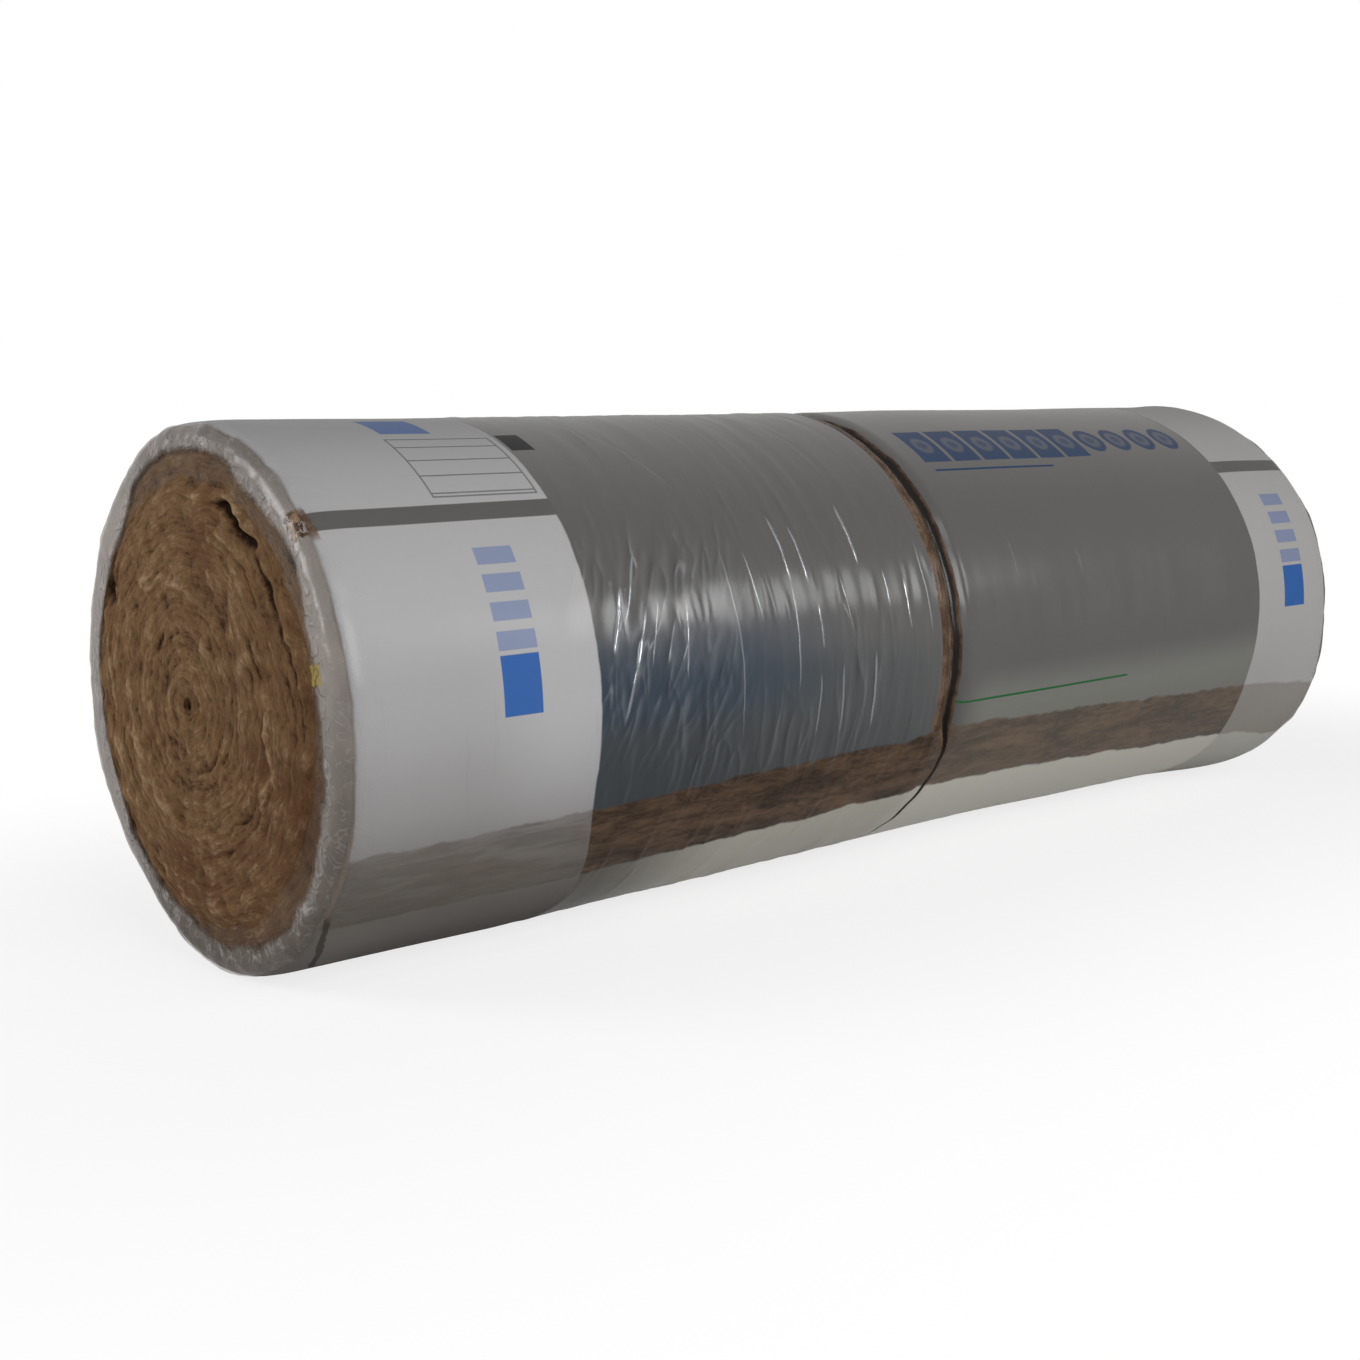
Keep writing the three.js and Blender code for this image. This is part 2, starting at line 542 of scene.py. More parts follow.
def degrees_past(around, middle):
    """Degrees from a place round the roll, from -180 to 180."""
    return (around - middle + 180) % 360 - 180


def sag(along, around, radius):
    """Shift from a true cylinder: a waist low on the front, and soft corners at the ends."""
    waist = WAIST * hump(along, *WAIST_ALONG) + NEAR_SWELL * hump(along, *NEAR_SWELL_ALONG)
    waist += FAR_SWELL * smooth_step(along, *FAR_SWELL_RISE)
    shift = waist * hump(around, *WAIST_AROUND)
    shift += CREST * smooth_step(along, *CREST_RISE) * hump(around, *CREST_AROUND)
    for middle, spread, height, start in NEAR_CORNERS if along < 0 else FAR_CORNERS:
        rise = smooth_step(abs(along), start, start + CORNER_RISE)
        shift += height * hump(degrees_past(around, middle), 0, spread) * rise
    return shift * smooth_step(radius, *BARREL_EDGE)


def eased_out(vertex, shift):
    """Moves a vertex straight out from the roll's axis, but not into the floor."""
    out = Vector((0, vertex.co.y, vertex.co.z - AXIS_HEIGHT)).normalized()
    vertex.co += out * shift
    vertex.co.z = max(vertex.co.z, FLOOR_GAP)


# ---- Wool -----------------------------------------------------------------------------------

WOOL_STEPS = 360
WOOL_OFFSET = -0.0022
UNDER_FILM = 0.160
# Where the wool is pressed flat by the film, and the share of its relief that is left there.
PRESSED_EDGE = (UNDER_FILM - 0.012, UNDER_FILM + 0.002)
PRESSED_RELIEF = 0.25
EYE_EDGE = 0.008
END_LIFT = 0.0055
END_DEPTH = 0.0005
END_SPACING = 0.00115
RIM_SPACING = 0.002
RIM_WIDTH = 0.014
# Tone of the wool away from its ends, and of the ends before anything stands out of them.
PLAIN_TONE = 0.3
BASE_TONE = 0.45

# Warps of the spiral: metres, scale and seed.
WARPS = ((0.0065, 11, 3), (0.0042, 30, 5), (0.0019, 75, 7))
# What stands out of the end: metres of height, and share of the tone. The tone follows the height, a
# painted shade that darkens what lies lower.
RELIEF = {
    "level of the layer": (0.0016, 0.24),
    "round top of the layer": (0.0006, 0.10),
    "laminae": (0.0007, 0.24),
    "tufts": (0.0022, 0.45),
    "lumps": (0.0022, 0.30),
    "hairs": (0.0010, 0.22),
}
# Painted shade in the creases between the turns.
CREASE_SHADE = 0.9
# Width of a layer's crease while it is closed, and what opening it adds.
CREASE_WIDTH = (0.0008, 0.0018)

# Arcs on the near end: radius, middle and half length in degrees, metres a degree, width.
# They all waver by so many metres, so many times round the roll.
ARC_WAVER = (0.0025, 17)
CRACK = (0.1485, 117.5, 14, 0.0, 0.0030)
ROLLED_EDGE = 0.0062
PALE_RIDGES = (
    (0.094, 330, 56, 0.0, 0.0042),
    (0.088, 78, 32, -0.0004, 0.0040),
    (0.061, 12, 30, 0.0, 0.0034),
    (0.126, 352, 30, 0.0, 0.0034),
    (0.112, 196, 34, 0.0001, 0.0030),
)
# Spots on the near end: radius, degrees, width.
PIT = (0.153, 28, 0.0085)
PALE_TUFTS = ((0.148, 97, 0.0060), (0.052, 123, 0.0052), (0.111, 130, 0.0080), (0.125, 318, 0.006))
# Height and tone of the crack, of the rolled edge outside it, of the pit, and of what is pale. The dark
# tones of the crack and the pit are painted shade.
CRACK_FORM = (-0.014, -1.8)
ROLLED_FORM = (0.003, 0.6)
PIT_FORM = (-0.024, -2.8)
PALE_FORM = (0.0028, 0.55)


def wool_relief(wool, radius, around, side):
    """Height of an end at a point, its tone from dark to pale, and its warped radius. The tone
    follows the height as painted shade: dark in the creases and where the end lies lower.

    The mat's two layers follow one spiral. Each layer keeps its own height along its length,
    and dark creases open and close between them.
    """
    angle = math.radians(around)
    across = math.cos(angle)
    up = math.sin(angle)

    def field(scale, at_radius, seed):
        return rough(across * at_radius * scale, up * at_radius * scale, seed)

    winding = radius + sum(size * field(scale, radius, side * seed) for size, scale, seed in WARPS)
    layer_pitch = wool.turn_pitch / 2
    spiral = side * around / 180
    layer = (winding - wool.eye_radius) / layer_pitch - spiral
    index = math.floor(layer)
    share = layer - index
    middle = wool.eye_radius + (index + 0.5 + spiral) * layer_pitch
    edge = wool.eye_radius + (index + round(share) + spiral) * layer_pitch

    opening = field(13, edge, edge * 170 + 9) + 0.42 * field(48, edge, edge * 170)
    opening = smooth_step(opening, 0.10, 0.92) * smooth_step(radius, 0.008, 0.06)
    distance = min(share, 1 - share) * layer_pitch
    crease = opening * hump(distance, 0, CREASE_WIDTH[0] + CREASE_WIDTH[1] * opening)
    parts = (
        field(12, middle, middle * 160) + 0.6 * field(36, middle, middle * 160),
        1 - (2 * share - 1) ** 2,
        rough(winding * 420, across * radius * 26, up * radius * 26),
        field(80, radius, side * 11),
        field(30, radius, side * 13),
        field(230, radius, side * 17),
    )
    height = -wool.relief * crease
    tone = BASE_TONE - CREASE_SHADE * crease
    for part, (part_height, part_tone) in zip(parts, RELIEF.values()):
        height += part_height * part
        tone += part_tone * part
    return height, tone, winding


def on_arc(around, radius, place):
    """How strongly a point lies on an arc of the near end, from 0 to 1."""
    middle_radius, middle, half, drift, width = place
    from_middle = degrees_past(around, middle)
    wave = ARC_WAVER[0] * math.sin(math.radians(around) * ARC_WAVER[1])
    ends = 1 - smooth_step(abs(from_middle) / half, 0.5, 1.0)
    return ends * hump(radius, middle_radius + drift * from_middle + wave, width)


def on_spot(around, radius, place):
    """How strongly a point lies on a spot of the near end, from 0 to 1."""
    spot_radius, degrees, width = place
    reach = math.radians(around - degrees) * spot_radius
    return hump(radius, spot_radius, width) * hump(reach, 0, width)


def torn_relief(around, radius, winding):
    """Height and tone that the cracks, pits, ridges and tufts add to the near end; the dark tone of the
    cracks and the pit is painted shade.
    """
    pale = sum(on_arc(around, winding, place) for place in PALE_RIDGES)
    pale += sum(on_spot(around, radius, place) for place in PALE_TUFTS)
    height = tone = 0.0
    for share, (form_height, form_tone) in (
        (on_arc(around, radius, CRACK), CRACK_FORM),
        (on_arc(around, radius - ROLLED_EDGE, CRACK), ROLLED_FORM),
        (on_spot(around, radius, PIT), PIT_FORM),
        (pale, PALE_FORM),
    ):
        height += form_height * share
        tone += form_tone * share
    return height, tone


def wool_half(wool, side):
    """A half-roll with its bore, its turns standing out on its end."""
    face = RIM_FACE - END_DEPTH
    points = joint_edge(WOOL_OFFSET, math.pi / 2)
    turn = shoulder(WOOL_OFFSET, 0, math.pi / 2, 8)
    points += line(points[-1], turn[0], 0.02) + turn[1:]
    for end, spacing in (
        ((face, UNDER_FILM + RIM_WIDTH), RIM_SPACING),
        ((face, wool.eye_radius), END_SPACING),
        ((JOINT_FACE, wool.eye_radius), 0.1),
        (points[0], 0.04),
    ):
        points += line(points[-1], end, spacing)
    points[-1] = points[0]
    mesh = spun([(side * along, radius) for along, radius in points], WOOL_STEPS)
    # The tone attribute carries painted shade that follows the relief.
    tone_layer = mesh.verts.layers.float.new("tone")
    winding_layer = mesh.verts.layers.float.new("winding")
    for vertex in mesh.verts:
        along, around, radius = polar(vertex)
        eased_out(vertex, sag(along, around, radius))
        if side * along < face - 0.0002 or radius < wool.eye_radius + 1e-4:
            vertex[tone_layer] = PLAIN_TONE
            vertex[winding_layer] = radius
            continue
        height, tone, winding = wool_relief(wool, radius, around, side)
        bare = 1 - smooth_step(radius, *PRESSED_EDGE)
        eye = smooth_step(radius, wool.eye_radius, wool.eye_radius + EYE_EDGE)
        dome = END_LIFT + wool.dome * (1 - (radius / UNDER_FILM) ** 2)
        height *= eye * (PRESSED_RELIEF + (1 - PRESSED_RELIEF) * bare)
        height += dome * bare
        if side == NEAR:
            torn_height, torn_tone = torn_relief(around, radius, winding)
            height += torn_height
            tone += torn_tone
        vertex.co.x += side * height
        vertex[tone_layer] = tone * eye
        vertex[winding_layer] = winding
    return mesh


def wool_material(wool):
    """Brown mineral wool: strands that follow the turns, painted shade in the creases and on the
    lower front of the ends, and pale tufts.
    """
    material, board, shader = new_material("wool")
    place = board.place()
    _, across, up = board.split(place)
    along_turns = board.join(board.attribute("winding") * 5, across, up)
    strands = board.noise(along_turns, 62, 6, 0.72, 0.7)
    fine = board.noise(along_turns, 210, 4, 0.75, 0.4)
    tufts = board.noise(place, 90, 5, 0.7, 0.8)
    patches = board.noise(place, 13, 3, 0.55)
    # Tone: painted shade that follows the relief of the end.
    tone = (board.attribute("tone") - 0.5) * 0.22
    mixture = strands * 0.4 + tufts * 0.3 + fine * 0.3 + tone
    # Painted shade: more of the rust colour low on the front of the ends.
    low_front = ((across + up) * -0.7).ease(-0.15, 0.02, 0.0, 0.2)
    colour = board.layers(
        wool.dark,
        (mixture.ease(0.31, 0.51), wool.middle),
        ((patches + low_front).ease(0.56, 0.76, 0.0, 0.7), wool.rust_and_shade),
        (mixture.ease(0.50, 0.76), wool.light),
    )
    coarse = board.bump(strands * 0.6 + tufts * 0.4, 0.0045)
    board.fill(shader, {
        "Base Color": colour,
        "Roughness": 0.9,
        "Specular IOR Level": 0.1,
        "Normal": board.bump(fine, 0.0012, 0.9, Normal=coarse),
    })
    return material


class ROLL_OT_wool(bpy.types.Operator):
    """Build both wound half-rolls of mineral wool"""
    bl_idname = "insulation_roll.wool"
    bl_label = "Wool half-rolls"

    def execute(self, context):
        wool = context.scene.insulation_roll.wool
        material = wool_material(wool)
        for name, side in (("near", NEAR), ("far", FAR)):
            mesh = wool_half(wool, side)
            finished(mesh, f"wool_mat_{name}", material, f"wool_roll_{name}")
        return {"FINISHED"}


# ---- Film -----------------------------------------------------------------------------------

FILM_STEPS = 200
COLLAR_STEPS = 600
FILM_OFFSET = 0.0013
JOINT_WRAP = math.radians(65)
JOINT_REACH = 0.02
RIM_SWEEP = math.radians(75)
NEAR_SPACING = 0.0018
FAR_SPACING = 0.0026
BAND_SPACING = 0.006

# The clear ends: where they start, how far they lie outside the print, and their pleats.
COLLAR_SWEEP = EASING_SWEEP * 0.85
COLLAR_RISE = 0.0005
COLLAR_SPACING = 0.0009
PLEATS_START = (0.572, 0.582)
PLEATS_EDGE = (-0.006, 0.004)
PLEAT_HEIGHT = 0.0014
CRUMPLE_HEIGHT = 0.0004
LIP_WIDTH = 0.009
LIP_RAGGED = 0.006

# Soft creases: seed, size of the bins along the roll, and share of them on the near half.
CREASE_SEED = 7
CREASE_BIN = 0.01
NEAR_SHARE = 0.72
# Range along each half, and of the height there.
NEAR_CREASES = ((-0.375, -0.015), (0.0002, 0.0008))
FAR_CREASES = ((0.02, 0.56), (0.0001, 0.0003))
# Degrees round the top, where creases are lower.
SMOOTH_TOP = (70, 125)
TOP_SHARE = 0.4

# The joint: degrees where the film grows taut over it and slack again, and the gap and the
# groove there along the roll.
TAUT = ((197, 207), (300, 325))
GAP = (0.0036, 0.0082)
GROOVE = (0.0004, 0.0054)

# Sharp creases: place along the roll, degrees round it, lean in metres a degree, width, height.
SHARP_CREASES = (
    (-0.187, 141, 160, 0.0001, 0.0013, 1.0),
    (-0.188, 154, 188, -0.0001, 0.0011, 0.5),
    (-0.169, 144, 161, 0.0001, 0.0012, 0.9),
    (-0.162, 163, 176, 0.0, 0.0011, 0.8),
    (-0.108, 139, 158, -0.0001, 0.0014, 1.1),
    (-0.103, 174, 198, 0.0001, 0.0012, 0.7),
    (-0.060, 159, 174, 0.0001, 0.0013, 0.9),
    (-0.082, 157, 168, 0.0, 0.0011, 0.8),
    (-0.362, 155, 172, -0.0012, 0.0021, 1.0),
    (-0.350, 158, 188, -0.0012, 0.0016, 0.8),
    (-0.345, 146, 168, -0.0016, 0.0013, 0.7),
    (-0.330, 158, 176, -0.0010, 0.0011, 0.6),
    (-0.248, 140, 201, 0.0001, 0.0012, 0.4),
    (-0.1655, 178, 197, 0.0, 0.0010, 0.6),
    (-0.140, 176, 198, 0.0001, 0.0011, 0.6),
    (-0.281, 102, 141, 0.0014, 0.0016, 0.22),
    (-0.225, 148, 170, 0.0003, 0.0011, 0.5),
    (-0.300, 158, 180, -0.0004, 0.0011, 0.6),
    (-0.130, 156, 174, 0.0003, 0.0011, 0.5),
    (-0.035, 148, 178, 0.0001, 0.0012, 0.5),
    (0.085, 150, 166, 0.0001, 0.0011, 0.25),
    (0.240, 128, 152, -0.0006, 0.0012, 0.15),
    (-0.562, 170, 188, 0.0001, 0.0012, 0.22),
    (-0.575, 184, 196, 0.0, 0.0012, 0.2),
    (-0.497, 180, 197, 0.0001, 0.0010, 0.3),
    (-0.475, 170, 194, 0.0, 0.0010, 0.3),
)


def random_creases(count):
    """Seeded soft creases, most of them on the near half, in bins along the roll."""
    chance = random.Random(CREASE_SEED)
    bins = {}
    for _ in range(count):
        along_range, heights = NEAR_CREASES if chance.random() < NEAR_SHARE else FAR_CREASES
        along = chance.uniform(*along_range)
        height = chance.uniform(*heights)
        start = chance.uniform(0, 360)
        reach = chance.uniform(8, 34)
        lean = chance.gauss(0, 0.0003)
        width = chance.uniform(0.0018, 0.0034)
        if SMOOTH_TOP[0] < start < SMOOTH_TOP[1]:
            height *= TOP_SHARE
        spread = abs(lean) * reach / 2 + 3 * width
        first = math.floor((along - spread) / CREASE_BIN)
        last = math.floor((along + spread) / CREASE_BIN)
        for key in range(first, last + 1):
            bins.setdefault(key, []).append((along, start + reach / 2, reach / 2, lean, width, height))
    return bins


def crease_height(crease, along, around):
    """Outward shift of the film by one crease."""
    place, middle, half, lean, width, height = crease
    from_middle = degrees_past(around, middle)
    reach = abs(from_middle) / half
    off = (along - place - lean * from_middle) / width
    if reach >= 1 or abs(off) > 3:
        return 0.0
    return height * hump(off, 0, 1) * (1 - smooth_step(reach, 0.45, 1.0))


def taut_share(around):
    """1 where the film lies taut over the joint, low on the roll, and 0 where it dips in."""
    return smooth_step(around, *TAUT[0]) * (1 - smooth_step(around, *TAUT[1]))


def slack(along, around):
    """Outward shift of the film by its soft waves, and by gathers beside the joint."""
    angle = math.radians(around)
    across = math.cos(angle) * FILM_RADIUS
    up = math.sin(angle) * FILM_RADIUS

    def waves(lengthways, scale, scale_round):
        return rough(lengthways * scale, across * scale_round, up * scale_round)

    busy = smooth_step(along, -0.42, -0.34) * (1 - smooth_step(along, -0.05, 0.02))
    front = smooth_step(around, 155, 172) * (1 - smooth_step(around, 200, 215))
    soft = 0.0008
    rippled = 0.0001 + (0.0004 + 0.0005 * front) * busy
    crushed = 0.0030 * hump(along, -0.335, 0.055) * hump(around, 167, 17)
    gathers = 0.0009 * (1 - smooth_step(abs(along + 0.004), 0.004, 0.030))
    return (
        soft * waves(along, 8, 8)
        + rippled * waves(along, 70, 9)
        + crushed * waves(along - 0.42 * up, 38, 11)
        + gathers * waves(along, 60, 48)
    )


def film_skin_mesh(film):
    """The film over the barrel and down into the joint, from rim to rim, with its creases."""
    halves = []
    for side, band, spacing in (
        (NEAR, -film.band_near, NEAR_SPACING), (FAR, film.band_far, FAR_SPACING),
    ):
        points = joint_edge(FILM_OFFSET, JOINT_WRAP)
        turn = shoulder(FILM_OFFSET, 0, RIM_SWEEP, 8)
        barrel = points[-1][1]
        points += line(points[-1], (band, barrel), spacing)
        points += line(points[-1], turn[0], BAND_SPACING) + turn[1:]
        halves.append([(side * along, radius) for along, radius in points])
    mesh = spun(halves[0][::-1] + halves[1], FILM_STEPS)
    creases = random_creases(film.creases)
    for vertex in mesh.verts:
        along, around, radius = polar(vertex)
        shift = sag(along, around, radius) + slack(along, around)
        if abs(along) < JOINT_REACH:
            shift += max(barrel - radius, 0) * taut_share(around)
        for crease in creases.get(math.floor(along / CREASE_BIN), ()):
            shift += crease_height(crease, along, around)
        eased_out(vertex, shift)
    return mesh


def collar_shift(film, vertex, side):
    """Shift of one point of a clear end, for its pleats and its ragged lip."""
    along, around, radius = polar(vertex)
    across = math.cos(math.radians(around))
    up = math.sin(math.radians(around))

    def waves(scale, seed):
        return rough(across * scale, up * scale, seed)

    deep = 0.5 + 0.5 * smooth_step(radius - film.haze_radius, *PLEATS_EDGE)
    pleats = waves(6, side * 4) + 0.35 * waves(19, side * 6 + radius * 12)
    height = PLEAT_HEIGHT * deep * max(pleats + 0.3, 0)
    height += CRUMPLE_HEIGHT * waves(radius * 90, along * 90)
    height *= smooth_step(abs(along), *PLEATS_START)
    ragged = waves(5, side * 8) + 0.5 * waves(16, side * 8)
    on_lip = 1 - smooth_step(radius, film.opening_radius, film.opening_radius + LIP_WIDTH)
    outward = LIP_RAGGED * ragged * on_lip + sag(along, around, radius)
    return vertex.normal * height + Vector((0, across, up)) * outward


def film_collar_mesh(film, side):
    """The clear end of the film: pleated over the rim and turned in to a ragged lip."""
    points = shoulder(FILM_OFFSET + COLLAR_RISE, COLLAR_SWEEP, math.pi / 2, 20)
    points += line(points[-1], (points[-1][0], film.opening_radius), COLLAR_SPACING)
    mesh = spun([(side * along, radius) for along, radius in points], COLLAR_STEPS)
    mesh.normal_update()
    shifts = [collar_shift(film, vertex, side) for vertex in mesh.verts]
    for vertex, shift in zip(mesh.verts, shifts):
        vertex.co += shift
        vertex.co.z = max(vertex.co.z, FLOOR_GAP)
    return mesh


# ---- Film materials -------------------------------------------------------------------------

# The two kinds of wrinkle: lean across the roll, scale and sharpness.
WRINKLES = ((0.0, (42, 9, 9), 5), (-0.42, (34, 11, 11), 4))
WRINKLE_WAVE = (1.0, 2, 0.6)
WRINKLE_SIDE = 0.0022
CRACKLE = (130, 4, 0.75)
PRINT_WOBBLE = 36
CLEAR_WOBBLE = 30

# The print, in metres along the roll and degrees round it. A slope is in degrees a metre, and
# a waver is how far a wobble moves an edge.
PICTURE_TOP = 199
PICTURE_SLOPE = 8.5
PICTURE_STEP = 1.2
PICTURE_HEIGHT = 19.2
PICTURE_WAVER = 3.5
PALE_START = (18, 20)
PALE_END = (317.5, 318.5)
PRINT_END = 0.5835
PRINT_END_DIP = ((192, 222), 0.004)
EDGE_SOFT = 0.001
WHITE_DRIFT = 0.024
WHITE_WAVER = 0.003
STRIP = (133.8, 138.2)
STRIP_SLOPE = 2.2
STRIP_END = (-0.5795, -0.5775)
STRIP_END_AROUND = (133.5, 141)
TEAR = (-0.5705, -0.5655)
TEAR_AROUND = (221, 250)
TEAR_MIDDLE = 234
TEAR_LEAN = -0.00095
TEAR_WAVER = 0.012
EDGE_WAVER = 0.004
SOFT_ALONG = 0.0008
SOFT_AROUND = 0.25

# The row of tiles: its start, pitch and number, the last ones being discs.
TILE_START = 0.036
TILE_PITCH = 0.0404
TILE_COUNT = 10
SQUARE_TILES = 6
TILES_AROUND = (114.6, 128.4)
TILE_MIDDLE = (0.49, 121.5)
TILE_DEGREES = 12.5

# Plain blocks and rules: range along, range round, colour and strength.
BLOCKS = (
    ((0.042, 0.207), (131.1, 131.8), "faded", 1.0),
    ((0.002, 0.245), (192.6, 193.2), "green", 1.0),
    ((-0.382, -0.361), (111, 118.5), "ink", 1.0),
    ((-0.475, -0.432), (98, 109), "blue", 0.7),
)
TABLE_OUTSIDE = ((-0.479, -0.390), (112, 133))
TABLE_INSIDE = ((-0.4775, -0.3915), (112.45, 132.55))
TABLE_ROWS = 0.19

# Bars round the roll: range along and strength. Stripes come before a solid block.
BARS = (((-0.468, -0.436), 0.9), ((0.502, 0.538), 0.92))
BAR_STRIPES = (145, 168)
BAR_BLOCK = (168, 180)
STRIPE_RATE = 0.17

# Where the film is wrinkled: by folds all round, by crumples on the front, and most where it is
# low on the front.
FOLDS_ALONG = (-0.385, -0.01)
FOLDS_FROM = (118, 146)
CRUMPLES = ((-0.385, -0.24), (146, 192))
LOW_FROM = (158, 178)
LOW_TO = (196, 206)

# Waves of the haze's inner edge: first and last degree, soft edge, outward shift.
HAZE_WAVES = (
    (60, 108, 20, 0.0085), (132, 146, 10, 0.005), (152, 188, 14, -0.0065),
    (206, 252, 22, 0.007), (272, 306, 16, -0.007),
)
HAZE_WAVER = 0.016
# How light the haze is in its dark clouds and at the top, as a share of its colour. The darker top is a
# painted shade.
DARK_HAZE = 0.72
TOP_HAZE = 0.55
SHOULDER = (0.5905, 0.5965)
TORN_SPOT = (133, 140)
TORN_FROM = (0.180, 0.188)
SCRAP_AROUND = (164.6, 169.4)
SCRAP_RADIUS = (0.157, 0.173)


@shared_group((), ("Folds", "Lit Folds", "Crumple", "Lit Crumple", "Crackle"))
def film_wrinkles(board):
    """Height of the fine wrinkles in the film.

    Folds run round the roll, Crumple leans across it, and Crackle goes every way. Lit Folds
    and Lit Crumple are above 0 on the side of a wrinkle that faces the far end, and below 0
    on its other side; the printed film paints a highlight on the first side and a shade on the
    other.
    """
    along, across, up = board.split(board.place())
    heights = []
    for lean, scale, sharpness in WRINKLES:
        here, beside = (
            board.noise(board.stretch(board.join(start + up * lean, across, up), scale), *WRINKLE_WAVE)
            for start in (along, along + WRINKLE_SIDE)
        )
        height = here.ridged(sharpness)
        heights += [height, height - beside.ridged(sharpness)]
    return *heights, board.noise(board.place(), *CRACKLE)


@shared_group(("Along", "Around", "Place", "Middle", "Half", "Lean", "Width"), ("Height",))
def sharp_crease(board, along, around, place, middle, half, lean, width):
    """Height of one sharp crease of the film, from 0 to 1."""
    from_middle = around - middle
    off = (along - (place + from_middle * lean)) / width
    return [(1 / math.e) ** (off * off) * (abs(from_middle) / half).fall(0.35, 1.0)]


class FilmPlace:
    """Where a point of the film lies, with the wrinkles there and a wobble about 0."""

    def __init__(self, board, wobble_scale):
        self.board = board
        place = board.group(roll_place())
        self.along = place["Along"]
        self.around = place["Around"]
        self.folded = place["Folded"]
        self.radius = place["Radius"]
        self.from_joint = abs(self.along)
        self.position = board.place()
        self.wobble = board.noise(self.position, wobble_scale, 3) - 0.5
        self.wrinkles = board.group(film_wrinkles())

    def noise(self, *recipe):
        return self.board.noise(self.position, *recipe)

    def streaks(self, scale, *recipe):
        """Noise that is stretched along the roll or round it."""
        return self.board.noise(self.board.stretch(self.position, scale), *recipe)

    def in_block(self, along_range, around_range):
        """1 inside a plain block of the print."""
        return self.along.band(*along_range, SOFT_ALONG) * self.around.band(*around_range, SOFT_AROUND)


def brown_print(board, prints, at):
    """Streaky brown of the print's fibrous band."""
    strands = at.streaks((24, 84, 84), 1.7, 6, 0.7, 1.2)
    patches = at.streaks((7, 30, 30), 1.4, 3, 0.5, 0.8)
    return board.layers(
        prints.picture_dark,
        ((strands * 0.5 + patches * 0.5).ease(0.34, 0.68), prints.picture_light),
        (at.along.ease(-0.02, 0.02, 0.0, 0.12), prints.pale),
    )


def silver_print(board, prints, at):
    """Silver panel with painted light: a painted reflection lightens its top, a blue-grey painted
    shade and a dark blue painted reflection lie low on the near half, and a pale painted
    reflection lies low on the far half.
    """
    # Where the painted shade lies: low on the near half.
    lower_edge = at.folded + (at.along + 0.36) * -24
    low = lower_edge.ease(165, 176) * at.along.fall(-0.06, 0.0)
    painted_low_shade = board.blend(at.along.ease(-0.36, -0.04), prints.painted_low_shade, prints.painted_low_shade_pale)
    # Where the dark blue painted reflection lies.
    blue_reflection_mask = at.folded.band(167, 186, 10) * at.along.band(-0.42, -0.18, 0.14)
    # Where the pale painted reflection lies: low on the far half.
    far_low = at.folded.ease(183, 196) * at.along.ease(0.0, 0.05)
    return board.layers(
        # Painted reflection at the top, fading into the silver lower down.
        prints.bright,
        (at.folded.ease(104, 146), prints.silver),
        (at.noise(9, 3) * 0.25, prints.strip),
        # Painted shade low on the near half.
        (low * 0.85, painted_low_shade),
        (blue_reflection_mask * 0.4, prints.dark_blue_reflection),
        (far_low * 0.8, prints.pale_low_reflection),
    )


def pale_print(board, prints, at):
    """Pale zone under the brown band, darker towards the near end as a painted shade."""
    return board.layers(
        prints.dull_shade,
        (at.along.ease(-0.36, -0.20), prints.pale),
        (at.along.ease(-0.02, 0.02), prints.pale_far),
    )


def white_print(board, prints, at, picture, in_picture):
    """White end bands, with the grey strip and the brown band faint under them.
    Painted shade darkens the near band low down and near its end, and both bands at the top;
    the far band is darker all over as painted shade, and lighter low down as painted light.
    """
    on_far = at.along.ease(0.0, 0.1)
    # Painted shade on the near band: darker low down, more so near its end.
    from_edge = at.folded - at.along.ease(-0.50, -0.40, 0.0, 6.0)
    shade = at.folded.band(166, 195, 14) * at.along.ease(-0.50, -0.42, 0.16, 0.0)
    near_white = board.layers(
        prints.white,
        (from_edge.ease(172, 226, 0.0, 0.9), prints.dull_shade),
        (shade, prints.dull_shade),
    )
    # The far band: its white is a painted shade, and it turns lighter low down as painted light.
    far_white = board.blend(at.folded.ease(196, 224, 0.0, 0.6), prints.white_far_shaded, prints.pale_far)
    through = board.blend(on_far, prints.dull_shade, prints.haze)
    faint = board.blend(at.along.ease(0.0, 0.1, 0.5, 0.2), through, picture)
    streaks = at.streaks((9, 60, 60), 1.5, 4, 0.6, 0.4)
    faintness = board.level(on_far, streaks.ease(0.35, 0.62, 0.38, 0.62), 0.5)
    return board.layers(
        near_white,
        (on_far, far_white),
        # Painted shade at the top of both bands.
        (at.folded.ease(95, 125, 0.30, 0.04), prints.dull_shade),
        (in_picture * faintness, faint),
        ((at.around + at.along * STRIP_SLOPE).band(*STRIP, 0.3), prints.strip),
    )


